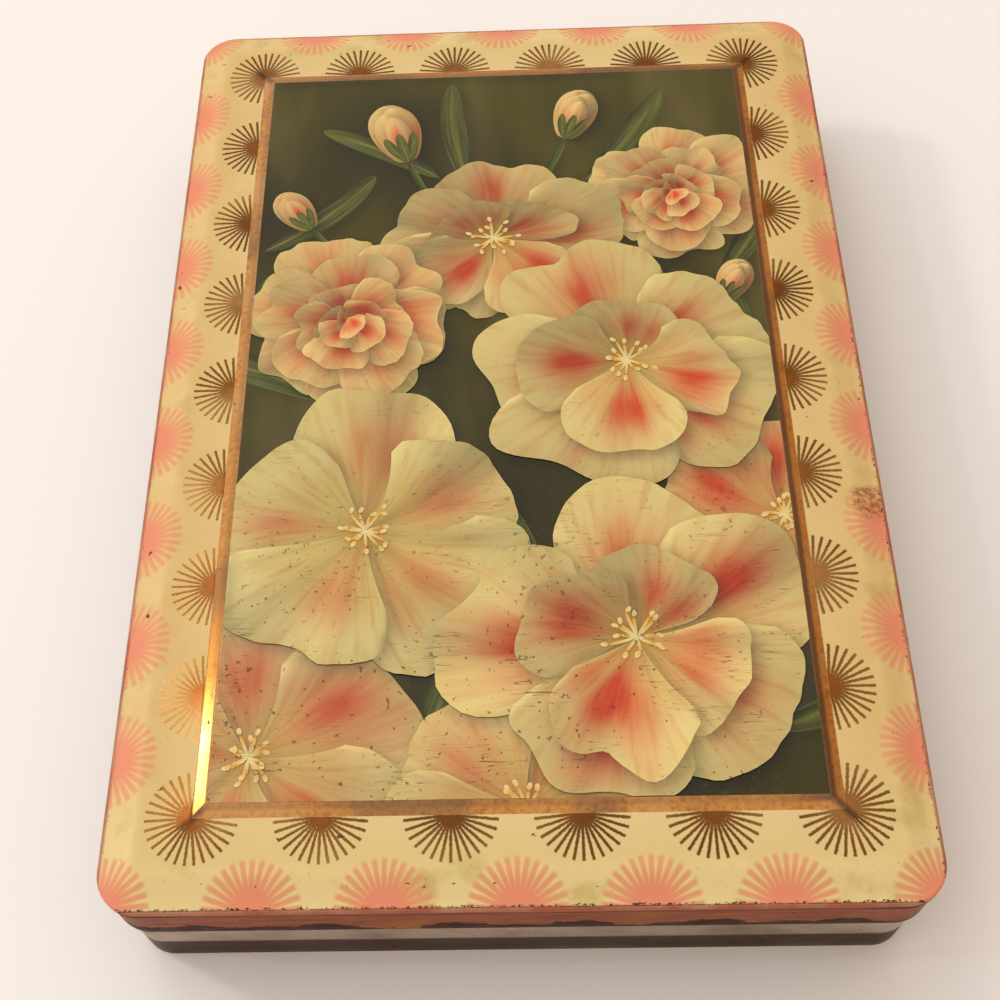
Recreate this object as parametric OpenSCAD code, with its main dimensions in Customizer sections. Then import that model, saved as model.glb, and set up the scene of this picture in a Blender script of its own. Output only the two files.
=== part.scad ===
// Flat keepsake and card tin with a lift-off lid.
// Built up from folded sheet: a pressed top lapped over a skirt, and a wall folded round a bottom.
// Millimetres, +Z up. The origin is on the floor, under the middle of the closed tin.
// The long side runs along Y, and the front is the short side at -Y.
// In plan, every wall is placed by its inset, which is its distance in from the lid's outer edge.

/* [Lid] */
// Width of the lid across its rim
lid_w = 160; // [120:1:220]
// Length of the lid across its rim
lid_l = 235; // [180:1:320]
// Plan radius of the lid's corners at the rim
corner_r = 8.5; // [8:0.5:20]
// Height of the lid's side, from the hem to the top of the rim
skirt_h = 13.8; // [9:0.1:18]
// Height of the rim, where the top is turned down outside the skirt
lap_h = 1.8; // [1.2:0.1:3]

/* [Pressed top] */
// Width of the flat land inside the rim
land_w = 3.2; // [3.2:0.1:3.8]
// Width of the slope that rises from the land to the border
slope_w = 3.8; // [2.5:0.1:4]
// Height of the border above the rim
slope_h = 2; // [1:0.1:3]
// Inset of the picture frame's outer edge
frame_in = 17.7; // [14:0.1:24]
// Width of the picture frame's bevel
bevel_w = 2.7; // [1.5:0.1:5]
// Height of the picture above the border
bevel_h = 0.8; // [0.4:0.1:2]

/* [Body] */
// Height of the body without its lid
body_h = 35; // [25:0.5:60]
// Height of the bottom's underside above the floor
foot_h = 2.4; // [1.8:0.1:4]
// Width of the lock seam inside the back wall
seam_w = 6; // [4:0.5:10]
// Inset of the bottom's raised panel from the wall's inner face
panel_in = 9; // [6:0.5:20]
// Height of the bottom's raised panel
panel_h = 0.8; // [0.4:0.1:1.5]
// Plan radius of the raised panel's corners
panel_r = 5; // [3:0.5:12]

/* [Sheet] */
// Thickness of the sheet that every piece is made from
tin_t = 0.3; // [0.25:0.05:0.4]
// Height of the folded hems on the skirt and on the body's mouth
hem_h = 3; // [2:0.1:4]
// Width of the fine line that each side seam shows outside
seam_line_w = 0.4; // [0.2:0.1:0.8]
// Depth of that line
seam_line_d = 0.1; // [0.05:0.05:0.15]

/* [Clearances] */
// Sideways clearance between the skirt's hem and the body's wall
lid_gap = 0.3; // [0.2:0.05:0.6]
// Clearance under the lid's land, over the body's mouth
seat_gap = 0.1; // [0.05:0.05:0.3]
// Clearance between two folded layers
fold_gap = 0.05; // [0.02:0.01:0.1]

/* [Hidden] */
$fn = 96;
// Heights
rim_z = body_h + seat_gap + tin_t;
hem_z = rim_z - skirt_h;
border_z = rim_z + slope_h;
skirt_z = rim_z - tin_t - fold_gap;
// Insets
border_in = land_w + slope_w;
skirt_in = tin_t + fold_gap;
body_in = skirt_in + 2 * tin_t + fold_gap + lid_gap;
hem_t = 2 * tin_t + fold_gap;
foot_t = 3 * tin_t + 2 * fold_gap;
flange_in = body_in + tin_t + fold_gap;
// Overlap that a cutting shape has past the surface it cuts
cut = 1;

// Rounded rectangle at an inset, with corners of its own radius
module rounded_plan(inset, r) {
    w = lid_w - 2 * inset;
    l = lid_l - 2 * inset;
    square([w - 2 * r, l], center = true);
    square([w, l - 2 * r], center = true);
    for (x = [-1, 1], y = [-1, 1])
        translate([x * (w / 2 - r), y * (l / 2 - r)])
            circle(r);
}

// Plan of the tin at an inset, whose corners keep the centres of the lid's corners
module plan(inset) {
    rounded_plan(inset, corner_r - inset);
}

// Solid rounded rectangle from one height up to another
module slab(inset, r, z0, z1) {
    translate([0, 0, z0])
        linear_extrude(z1 - z0)
            rounded_plan(inset, r);
}

// Wall that follows the plan between two insets
module ring(outer, inner, z0, z1) {
    translate([0, 0, z0])
        linear_extrude(z1 - z0)
            difference() {
                plan(outer);
                plan(inner);
            }
}

// Outline of a slope from half width w0 at z0 to w1 at z1, on a straight foot sunk into what carries it
function slope_side(w0, w1, z0, z1) = [[w0, z0 - tin_t / 2], [w0, z0], [w1, z1]];

// Bar along Y that slopes on both sides, w0 wide at z0 and w1 wide at z1
module ridge(w0, w1, len, z0, z1) {
    side = slope_side(w0 / 2, w1 / 2, z0, z1);
    translate([0, len / 2, 0])
        rotate([90, 0, 0])
            linear_extrude(len)
                polygon([side[0], side[1], side[2], [-side[2].x, side[2].y], [-side[1].x, side[1].y],
                         [-side[0].x, side[0].y]]);
}

// Slope all round, with rounded corners, from an inset at z0 to a deeper one at z1
module rounded_rise(in0, in1, z0, z1) {
    run_w = lid_w - 2 * corner_r;
    run_l = lid_l - 2 * corner_r;
    ridge(lid_w - 2 * in0, lid_w - 2 * in1, run_l, z0, z1);
    rotate([0, 0, 90])
        ridge(lid_l - 2 * in0, lid_l - 2 * in1, run_w, z0, z1);
    for (x = [-1, 1], y = [-1, 1])
        translate([x * run_w / 2, y * run_l / 2])
            rotate_extrude()
                polygon(concat([[0, z0 - tin_t / 2]], slope_side(corner_r - in0, corner_r - in1, z0, z1), [[0, z1]]));
}

// Slope all round, with mitred corners, from an inset at z0 to a deeper one at z1
module mitred_rise(in0, in1, z0, z1) {
    intersection() {
        ridge(lid_w - 2 * in0, lid_w - 2 * in1, lid_l, z0, z1);
        rotate([0, 0, 90])
            ridge(lid_l - 2 * in0, lid_l - 2 * in1, lid_w, z0, z1);
    }
}

// Everything under the lid's upper surface, down to the land's underside
module pressing() {
    slab(0, corner_r, rim_z - tin_t, rim_z);
    rounded_rise(land_w, border_in, rim_z, border_z);
    mitred_rise(frame_in, frame_in + bevel_w, border_z, border_z + bevel_h);
}

// Fine line that a side seam leaves down the middle of the back
module seam_line(inset, z0, z1) {
    translate([-seam_line_w / 2, lid_l / 2 - inset - seam_line_d, z0])
        cube([seam_line_w, seam_line_d + cut, z1 - z0]);
}

// Pressed top: land, slope, border, bevelled picture frame, and a rim turned down over the skirt
module lid_top() {
    color([0.86, 0.76, 0.52]) {
        difference() {
            pressing();
            translate([0, 0, -tin_t])
                pressing();
        }
        ring(0, tin_t, rim_z - lap_h, rim_z);
    }
}

// Skirt: band that reaches up inside the top's rim, with a hem folded in at the bottom
module lid_skirt() {
    color([0.80, 0.48, 0.37])
        difference() {
            union() {
                ring(skirt_in, skirt_in + tin_t, hem_z, skirt_z);
                ring(skirt_in, skirt_in + hem_t, hem_z, hem_z + tin_t);
                ring(skirt_in + hem_t - tin_t, skirt_in + hem_t, hem_z, hem_z + hem_h);
            }
            seam_line(skirt_in, hem_z - cut, rim_z - lap_h - fold_gap);
        }
}

// Body wall: hem folded in at the mouth, foot folded round the bottom's flange, lock seam at the back
module body_wall() {
    seam_z0 = foot_h + tin_t + panel_h;
    seam_z1 = body_h - hem_h - fold_gap;
    color([0.62, 0.53, 0.42])
        difference() {
            union() {
                ring(body_in, body_in + tin_t, 0, body_h);
                ring(body_in, body_in + hem_t, body_h - tin_t, body_h);
                ring(body_in + hem_t - tin_t, body_in + hem_t, body_h - hem_h, body_h);
                ring(body_in, body_in + foot_t, 0, tin_t);
                ring(body_in + foot_t - tin_t, body_in + foot_t, 0, foot_h - fold_gap);
                translate([-seam_w / 2, lid_l / 2 - body_in - foot_t, seam_z0])
                    cube([seam_w, foot_t, seam_z1 - seam_z0]);
            }
            seam_line(body_in, -cut, body_h + cut);
        }
}

// Bottom: plate with a flange turned down into the foot's fold and a shallow raised panel
module body_bottom() {
    riser_in = body_in + tin_t + panel_in;
    color([0.66, 0.64, 0.60]) {
        ring(flange_in, flange_in + tin_t, tin_t + fold_gap, foot_h + tin_t);
        difference() {
            union() {
                slab(flange_in, corner_r - flange_in, foot_h, foot_h + tin_t);
                slab(riser_in, panel_r, foot_h, foot_h + panel_h + tin_t);
            }
            slab(riser_in + tin_t, panel_r - tin_t, foot_h - cut, foot_h + panel_h);
        }
    }
}

lid_top();
lid_skirt();
body_wall();
body_bottom();
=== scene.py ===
import bmesh
import bpy
import math
import numpy as np
from functools import partial
from mathutils import Matrix, Vector
from types import SimpleNamespace


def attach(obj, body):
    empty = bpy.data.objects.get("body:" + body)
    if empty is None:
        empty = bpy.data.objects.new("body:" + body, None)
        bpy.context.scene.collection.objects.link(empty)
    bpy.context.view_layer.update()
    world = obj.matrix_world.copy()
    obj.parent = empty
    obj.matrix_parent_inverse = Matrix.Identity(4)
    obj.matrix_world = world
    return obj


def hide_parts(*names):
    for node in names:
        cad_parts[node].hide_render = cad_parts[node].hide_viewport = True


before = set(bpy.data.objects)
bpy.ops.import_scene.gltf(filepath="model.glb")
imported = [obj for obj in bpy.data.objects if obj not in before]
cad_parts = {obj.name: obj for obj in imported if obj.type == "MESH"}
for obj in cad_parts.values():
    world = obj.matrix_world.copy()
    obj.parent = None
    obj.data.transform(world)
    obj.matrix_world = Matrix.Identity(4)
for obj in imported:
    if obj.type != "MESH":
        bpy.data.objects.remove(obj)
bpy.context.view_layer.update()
mm = 0.001

# Sizes that all the folded pieces share, in mm
tin = {"width": 160, "length": 235, "cornerRadius": 8.5, "sheet": 0.3}
seamSizes = {"width": 0.4, "depth": 0.1}


def clearSelection():
    if bpy.context.object and bpy.context.object.mode != "OBJECT":
        bpy.ops.object.mode_set(mode="OBJECT")
    bpy.ops.object.select_all(action="DESELECT")


def takeOnly(piece):
    clearSelection()
    piece.select_set(True)
    bpy.context.view_layer.objects.active = piece


def linear(hexColour):
    # sRGB hex to the linear colour that a node takes
    parts = [int(hexColour[i:i + 2], 16) / 255 for i in (1, 3, 5)]
    return (*[c / 12.92 if c <= 0.04045 else ((c + 0.055) / 1.055) ** 2.4 for c in parts], 1)


def linearAll(colours):
    return {name: linear(colour) for name, colour in colours.items()}


def addNode(tree, kind, *links, **settings):
    # kind is a node's name after "ShaderNode", with its operation, or a Mix's data type, after a space
    kind, *mode = kind.split()
    node = tree.nodes.new("ShaderNode" + kind)
    if mode:
        setattr(node, "data_type" if kind == "Mix" else "operation", mode[0])
    named = settings.pop("named", {})
    for key, value in settings.items():
        setattr(node, key, value)
    # a Mix is given its factor and two values, which have other sockets where they are colours
    sockets = range(len(links)) if kind != "Mix" else (0, 6, 7) if mode else (0, 2, 3)
    for key, value in [*zip(sockets, links), *named.items()]:
        if isinstance(value, bpy.types.Node):
            value = next(o for o in value.outputs if o.enabled)
        if isinstance(value, bpy.types.NodeSocket):
            tree.links.new(value, node.inputs[key])
        else:
            node.inputs[key].default_value = value
    return node


def newMaterial(name):
    material = bpy.data.materials.new(name)
    material.use_nodes = True
    material.node_tree.nodes.clear()
    return material, partial(addNode, material.node_tree)


def spot(vertex):
    # A vertex's place, rounded so that it can be looked up
    return tuple(round(c, 7) for c in vertex.co)


def selectLoops(shell, *loops):
    # Selects the open edges of the loops, whose vertices are known by place
    bpy.ops.mesh.select_all(action="DESELECT")
    mesh = bmesh.from_edit_mesh(shell.data)
    for edge in mesh.edges:
        if len(edge.link_faces) < 2 and any(all(spot(v) in loop for v in edge.verts) for loop in loops):
            edge.select_set(True)
    bmesh.update_edit_mesh(shell.data)


def sheetSweep(name, path, steps=16, closed=False):
    # Open shell through rounded loops, each (inset, height, corner radius) in mm. With no radius the
    # last loop is extruded inwards, and "fill" in a fourth place fills a flat stretch instead of bridging it
    clearSelection()
    shell, last = None, None
    for inset, height, radius, *join in path:
        width, length = (tin["width"] - 2 * inset) * mm, (tin["length"] - 2 * inset) * mm
        if radius is None:
            selectLoops(shell, last)
            rise, shrink = (height - lastHeight) * mm, (width / lastSize[0], length / lastSize[1], 1)
            bpy.ops.mesh.extrude_edges_move(TRANSFORM_OT_translate={"value": (0, 0, rise)})
            bpy.ops.transform.resize(value=shrink, center_override=(0, 0, 0))
        else:
            bpy.ops.mesh.primitive_plane_add(size=1, location=(0, 0, height * mm))
            if shell is None:
                shell = bpy.context.object
                shell.name = name
                bpy.ops.object.transform_apply(location=True, rotation=False, scale=False)
                bpy.ops.object.mode_set(mode="EDIT")
            bpy.ops.transform.resize(value=(width, length, 1), center_override=(0, 0, 0))
            bpy.ops.mesh.bevel(offset=radius * mm, segments=steps, affect="VERTICES")
        loop = {spot(v) for v in bmesh.from_edit_mesh(shell.data).verts if v.select}
        if radius is not None:
            bpy.ops.mesh.delete(type="ONLY_FACE")
        if last and radius is not None:
            selectLoops(shell, last, loop)
            if join:
                bpy.ops.mesh.fill(use_beauty=True)
            else:
                bpy.ops.mesh.bridge_edge_loops()
        last, lastHeight, lastSize = loop, height, (width, length)
    if closed:
        selectLoops(shell, last)
        bpy.ops.mesh.edge_face_add()
    bpy.ops.mesh.select_all(action="SELECT")
    bpy.ops.mesh.normals_make_consistent(inside=False)
    # the outermost face on the right shows whether the shell came out inside out
    mesh = bmesh.from_edit_mesh(shell.data)
    side = max(mesh.faces, key=lambda f: f.calc_center_median().x + abs(f.normal.x) * mm)
    if side.normal.x < 0:
        bpy.ops.mesh.flip_normals()
    bpy.ops.object.mode_set(mode="OBJECT")
    return shell


def arc(centreInset, centreHeight, radius, start, end, steps):
    # Points of a curl in the section; 0 degrees points inwards and 90 up
    turns = [math.radians(start + (end - start) * i / steps) for i in range(steps + 1)]
    return [(centreInset + radius * math.cos(t), centreHeight + radius * math.sin(t)) for t in turns]


def withRadius(points, outer):
    # Corners keep one centre, so the radius shrinks with the inset
    return [(inset, height, outer - inset) for inset, height in points]


def thicken(shell, thickness, materials, angle=30, rim=1):
    # Gives a shell its sheet, inwards. The first material is outside, the second inside, and rim says
    # which of them the sheet's cut edge has
    for material in materials:
        shell.data.materials.append(material)
    solid = shell.modifiers.new("sheet", "SOLIDIFY")
    solid.thickness = thickness * mm
    solid.offset = -1
    solid.use_even_offset = True
    solid.material_offset = 1
    solid.material_offset_rim = rim
    takeOnly(shell)
    bpy.ops.object.modifier_apply(modifier=solid.name)
    bpy.ops.object.shade_smooth_by_angle(angle=math.radians(angle))


def pressSeam(shell, low, high):
    # Presses the fine line of a side seam into the middle of the back, between two heights
    width = seamSizes["width"] * mm
    takeOnly(shell)
    bpy.ops.object.mode_set(mode="EDIT")
    for cut in (-width, -width / 2, width / 2, width):
        bpy.ops.mesh.select_all(action="SELECT")
        bpy.ops.mesh.bisect(plane_co=(cut, 0, 0), plane_no=(1, 0, 0))
    bpy.ops.mesh.select_all(action="DESELECT")
    mesh = bmesh.from_edit_mesh(shell.data)
    for vertex in mesh.verts:
        x, y, z = vertex.co
        # only the two inner cuts lie nearer the middle than 0.6 of the width
        if abs(x) < 0.6 * width and y > 0 and low * mm < z < high * mm:
            vertex.select_set(True)
    bmesh.update_edit_mesh(shell.data)
    bpy.ops.transform.translate(value=(0, -seamSizes["depth"] * mm, 0))
    bpy.ops.object.mode_set(mode="OBJECT")


# Camera, fitted to the corners of the border and of the frame
cameraView = {"place": (0.001823, -0.188506, 0.306561), "pitch": 58.653, "yaw": -3.704, "roll": -4.464,
              "lens": 52.24, "shift": (0.0304, -0.0215)}
pitch, yaw, roll = (math.radians(cameraView[k]) for k in ("pitch", "yaw", "roll"))
look = Vector((math.sin(yaw) * math.cos(pitch), math.cos(yaw) * math.cos(pitch), -math.sin(pitch)))
level = Vector((math.cos(yaw), -math.sin(yaw), 0))
upright = level.cross(look)
right = math.cos(roll) * level + math.sin(roll) * upright
up = -math.sin(roll) * level + math.cos(roll) * upright
cameraData = bpy.data.cameras.new("viewCamera")
camera = bpy.data.objects.new("viewCamera", cameraData)
bpy.context.scene.collection.objects.link(camera)
rows = [(*row, place) for row, place in zip(zip(right, up, -look), cameraView["place"])]
camera.matrix_world = Matrix((*rows, (0, 0, 0, 1)))
cameraData.sensor_width = 36
cameraData.lens = cameraView["lens"]
cameraData.shift_x, cameraData.shift_y = cameraView["shift"]
cameraData.clip_start = 0.01
bpy.context.scene.camera = camera
bpy.context.scene.view_settings.view_transform = "Standard"
print("camera placed")


# Light from a window behind the left shoulder, and a pale floor. Places are in metres and each "From"
# is a direction towards the light
studio = {"sunStrength": 0.12, "sunFrom": (-0.67, 0.03, 0.74), "sunSize": 1.6, "sunColour": "#e6eeff",
          "softPower": 2.2, "softFrom": (-0.683, 0.322, 0.655), "softSize": 0.13, "softColour": "#fff3e0",
          "softAim": (-0.061, -0.088, 0.038), "softAway": 1.2,
          "glarePower": 0.8, "glareFrom": (-0.286, 0.47, 1.067), "glareSize": 0.34, "glareColour": "#fff6e8",
          "glarePlace": (-0.356, 0.4, 1.107),
          "roomFrom": (-0.45, 0.28, 0.85), "roomStrength": 1.2,
          "roomColours": [(0.0, "#a28a6e"), (0.4, "#c2aa8a"), (0.75, "#efe8e3"), (1.0, "#f6faff")],
          "backdrop": "#fbf3ee", "floor": "#fdfaf9", "floorCloud": "#fbf8f7", "floorSize": 6}


def addLamp(kind, name, light, place, **settings):
    clearSelection()
    bpy.ops.object.light_add(type=kind, location=place)
    lamp = bpy.context.object
    lamp.name = name
    lamp.rotation_euler = (-Vector(studio[light + "From"])).to_track_quat("-Z", "Y").to_euler()
    lamp.data.color = linear(studio[light + "Colour"])[:3]
    for key, value in settings.items():
        setattr(lamp.data, key, value)


sunAngle = math.radians(studio["sunSize"])
addLamp("SUN", "windowSun", "sun", (0, 0, 0), energy=studio["sunStrength"], angle=sunAngle)
softPlace = Vector(studio["softAim"]) + Vector(studio["softFrom"]) * studio["softAway"]
addLamp("AREA", "softBox", "soft", softPlace, energy=studio["softPower"], size=studio["softSize"])
addLamp("AREA", "windowGlare", "glare", studio["glarePlace"], energy=studio["glarePower"],
        size=studio["glareSize"])

world = bpy.data.worlds.new("studioRoom")
bpy.context.scene.world = world
world.use_nodes = True
world.node_tree.nodes.clear()
add = partial(addNode, world.node_tree)
ray = add("TexCoord").outputs["Generated"]
toWindow = add("VectorMath DOT_PRODUCT", ray, tuple(Vector(studio["roomFrom"]).normalized())).outputs["Value"]
room = add("ValToRGB", toWindow)
for stop, (place, colour) in enumerate(studio["roomColours"]):
    # a new ramp already has its first two stops
    point = room.color_ramp.elements[stop] if stop < 2 else room.color_ramp.elements.new(place)
    point.position, point.color = place, linear(colour)
roomLight = add("Background", room, studio["roomStrength"])
backdrop = add("Background", linear(studio["backdrop"]), 1.0)
camRay = add("LightPath").outputs["Is Camera Ray"]
add("OutputWorld", add("MixShader", camRay, roomLight, backdrop))

floorPaint, add = newMaterial("paintedBoardFloor")  # matt painted board, evenly pale with a faint unevenness
place = add("TexCoord").outputs["Object"]
cloud = add("TexNoise", place, named={"Scale": 3.0})
tone = add("Mix RGBA", cloud, linear(studio["floor"]), linear(studio["floorCloud"]))
board = add("BsdfPrincipled", named={"Base Color": tone, "Roughness": 0.7, "Specular IOR Level": 0.2})
add("OutputMaterial", board)
clearSelection()
bpy.ops.mesh.primitive_plane_add(size=studio["floorSize"])
floor = bpy.context.object
floor.name = "studioFloor"
floor.data.materials.append(floorPaint)
print("light and floor ready")


def surface(material, add, colour, rough, relief, more):
    # A material's face: its colour and roughness, a fine relief (height, strength, distance) and the rest
    height, strength, distance = relief
    bump = add("Bump", named={"Strength": strength, "Distance": distance, "Height": height})
    shader = add("BsdfPrincipled", named={"Base Color": colour, "Roughness": rough, "Normal": bump, **more})
    add("OutputMaterial", shader)
    return material


def millimetres(add):
    # A point's place in the tin's frame, and the same along X, Y and Z in mm
    place = add("TexCoord").outputs["Object"]
    return place, *add("SeparateXYZ", add("VectorMath SCALE", place, named={"Scale": 1 / mm})).outputs


def softStep(add, value, edge, width):
    # 1 where value is below edge, 0 above it
    if isinstance(edge, bpy.types.Node):
        value, edge = add("Math SUBTRACT", value, edge), 0.0
    return add("MapRange", value, edge - width / 2, edge + width / 2, 1.0, 0.0)


def layered(add, colour, *layers):
    # Lays other colours over a colour, each given as (amount, colour)
    for amount, over in layers:
        colour = add("Mix RGBA", amount, colour, over)
    return colour


def wobble(add, noise, size):
    # A noise that swings evenly about 0
    return add("Math MULTIPLY", add("Math SUBTRACT", noise, 0.5), size)


# The print on border, skirt and wall: fans and suns with rays, whose centres stand a pitch apart, and a
# band round the picture's frame. Lengths are in mm, rayTurn is the angle from ray to ray in degrees, and
# heights are above the floor
printSizes = {"pitch": 24.93, "lastFan": 4.0, "bandX": 62.3, "bandY": 99.8, "rayTurn": 12, "fanRadius": 9.2,
              "fanRay": 0.62, "sunRadius": 9.6, "sunRay": 1.05, "sunCore": 4.4, "cornerSunIn": 1.2,
              "crease": (7.5, 11.5), "crest": 16.75, "rubAt": (77.0, -33.0, 0.0), "rubReach": 4.0,
              "hemSunHeight": 18.6, "hemSunRadius": 8.0, "hemDark": (23.8, 26.5), "rimGapShadow": (32.9, 34.3),
              "wallBand": 10.6}


def fromMark(add, value, last=9.0):
    # Distance past the nearest of the marks that stand a pitch apart, up to the last one
    nearest = add("Math MINIMUM", add("Math ROUND", add("Math DIVIDE", value, printSizes["pitch"])), last)
    return add("Math SUBTRACT", value, add("Math MULTIPLY", nearest, printSizes["pitch"]))


def fromGap(add, value):
    # Distance past the nearest middle between two marks
    half = printSizes["pitch"] / 2
    return add("Math WRAP", add("Math SUBTRACT", value, half), half, -half)


def foldedFan(add, fromX, fromY, quarters, corner):
    # Distance from a fan's centre, and from the middle line of its nearest ray, in mm. A fan is turned by
    # quarters of the angle from ray to ray, and by one quarter in a corner
    quarter = math.radians(printSizes["rayTurn"] / 4)
    phase = add("Math MULTIPLY", add("Mix", corner, quarters, 1.0), quarter)
    radius = add("VectorMath LENGTH", add("CombineXYZ", fromX, fromY)).outputs["Value"]
    turn = add("Math SUBTRACT", add("Math ARCTAN2", fromY, fromX), phase)
    off = add("Math WRAP", turn, 2 * quarter, -2 * quarter)
    return radius, add("Math MULTIPLY", radius, add("Math ABSOLUTE", add("Math SINE", off)))


def lidPlaces(add):
    # Where a point of the border is. u and v run out from the middle, outX and outY from the band's
    # outer edge, beside and ahead say past which of its sides, and blotch and fine are the print's two noises
    place, x, y, _ = millimetres(add)
    u, v = add("Math ABSOLUTE", x), add("Math ABSOLUTE", y)
    outX, outY = add("Math SUBTRACT", u, printSizes["bandX"]), add("Math SUBTRACT", v, printSizes["bandY"])
    beside, ahead = add("Math GREATER_THAN", outX, 0.0), add("Math GREATER_THAN", outY, 0.0)
    outside = add("Math MAXIMUM", beside, ahead)
    return SimpleNamespace(
        place=place, x=x, y=y, u=u, v=v, outX=outX, outY=outY, out=add("Math MAXIMUM", outX, outY),
        beside=beside, ahead=ahead, outside=outside, band=add("Math SUBTRACT", 1.0, outside),
        blotch=add("TexNoise", place, named={"Scale": 95.0, "Detail": 3.0, "Roughness": 0.55}),
        fine=add("TexNoise", place, named={"Scale": 900.0, "Detail": 3.0, "Roughness": 0.6}))


def goldFans(add, at):
    # Fans that stand on the band, with their distances
    pitch = printSizes["pitch"]
    corner = add("Math MULTIPLY", add("Math GREATER_THAN", at.u, 2 * pitch),
                 add("Math GREATER_THAN", at.v, 3.5 * pitch))
    fromX = add("Mix", at.beside, fromGap(add, at.u), at.outX)
    fromY = add("Mix", at.beside, at.outY, fromMark(add, at.v, printSizes["lastFan"]))
    radius, off = foldedFan(add, fromX, fromY, add("Mix", at.beside, 2.0, 0.0), corner)
    ragged = add("TexNoise", at.place, named={"Scale": 1900.0})
    off = add("Math ADD", off, wobble(add, ragged, 0.35))
    fan = add("Math MULTIPLY", softStep(add, off, printSizes["fanRay"] / 2, 0.2),
              softStep(add, radius, printSizes["fanRadius"], 0.3))
    return add("Math MULTIPLY", fan, at.outside), radius, off


def edgeSuns(add, at):
    # Suns that stand on the lid's edge, with their distance
    corner = add("Math MULTIPLY", at.beside, at.ahead)
    toEdgeX = add("Math SUBTRACT", tin["width"] / 2, at.u)
    toEdgeY = add("Math SUBTRACT", tin["length"] / 2, at.v)
    fromX = add("Mix", at.beside, fromMark(add, at.u), toEdgeX)
    fromY = add("Mix", at.beside, toEdgeY, fromGap(add, at.v))
    fromX = add("Mix", corner, fromX, add("Math SUBTRACT", toEdgeX, printSizes["cornerSunIn"]))
    fromY = add("Mix", corner, fromY, add("Math SUBTRACT", toEdgeY, printSizes["cornerSunIn"]))
    quarters = add("Mix", add("Math SUBTRACT", at.outside, at.beside), 0.0, 2.0)
    radius, off = foldedFan(add, fromX, fromY, quarters, corner)
    rays = add("Math MAXIMUM", softStep(add, off, printSizes["sunRay"] / 2, 0.42),
               softStep(add, radius, printSizes["sunCore"], 0.5))
    return add("Math MULTIPLY", rays, softStep(add, radius, printSizes["sunRadius"], 0.8)), radius


def creamGround(add, at):
    # Cream enamel, yellower and dirtier outside the crease, and more amber towards the long sides
    # outside the crease the yellower, olive, duller tone is partly print and partly painted shade of the
    # outer slope
    outerTintAndShade = add("MapRange", add("Math ADD", at.out, wobble(add, at.blotch, 7.0)), *printSizes["crease"])
    olive = add("Math MULTIPLY", add("MapRange", at.blotch, 0.52, 0.66, 0.0, 0.6), outerTintAndShade)
    amber = add("Math MULTIPLY", add("MapRange", at.u, 40.0, 75.0, 0.15, 0.42),
                add("MapRange", at.blotch, 0.7, 0.4, 0.5, 1.0))
    amber = add("Math MULTIPLY", amber, add("MapRange", at.y, -112.0, -90.0, 0.1, 1.0))
    dirt = add("Math MULTIPLY", add("MapRange", at.fine, 0.66, 0.72, 0.0, 0.35), outerTintAndShade)
    return layered(add, inks["cream"], (add("MapRange", at.out, 0.0, 9.0), inks["creamDull"]),
                   (outerTintAndShade, inks["creamYellow"]), (olive, inks["olive"]), (amber, inks["amber"]),
                   (dirt, inks["dirt"]))


def goldLacquer(add, at, fanRadius, fanOff):
    # Gold lacquer over bare tin on the fans and the band, brighter and duller in patches of painted sheen and
    # painted shade
    bandTone = layered(add, inks["band"], (add("MapRange", at.fine, 0.42, 0.7), inks["bandGrime"]))
    rayTone = layered(add, inks["ray"], (add("MapRange", fanRadius, 2.0, 8.0), inks["rayTip"]))
    sheen = add("TexNoise", at.place, named={"Scale": 60.0, "Detail": 1.0})
    # bright patches are a painted sheen on the lacquer, dull ones a painted shade
    bright = add("MapRange", sheen, 0.52, 0.68, 0.0, 0.4)
    dull = add("MapRange", sheen, 0.5, 0.36, 0.0, 0.5)
    # darker at the rays' edges, and painted shade along the band's inner edge, stronger on the right, and on
    # the four mitres
    rayEdge = add("Math MULTIPLY", add("MapRange", fanOff, 0.1, 0.34, 0.0, 0.7), at.outside)
    innerShadeReach = add("Math ADD", at.out, add("Math MULTIPLY", at.fine, 1.4))
    innerEdgeShade = add("Math MULTIPLY", add("MapRange", innerShadeReach, -1.1, -0.5, 0.8, 0.0),
                add("Math MULTIPLY", at.band, add("MapRange", at.x, 50.0, 60.0, 0.35, 1.0)))
    skew = add("Math ABSOLUTE", add("Math SUBTRACT", at.outX, at.outY))
    far = add("Math ABSOLUTE", add("Math SUBTRACT", at.out, 0.6))
    mitreShade = add("Math MULTIPLY", softStep(add, skew, 1.1, 1.6), softStep(add, far, 3.2, 2.4))
    dark = add("Math MAXIMUM", add("Math MAXIMUM", rayEdge, innerEdgeShade), add("Math MULTIPLY", mitreShade, 0.8))
    return layered(add, rayTone, (at.band, bandTone), (bright, inks["bright"]), (dull, inks["dull"]),
                   (dark, inks["edge"]))


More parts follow.
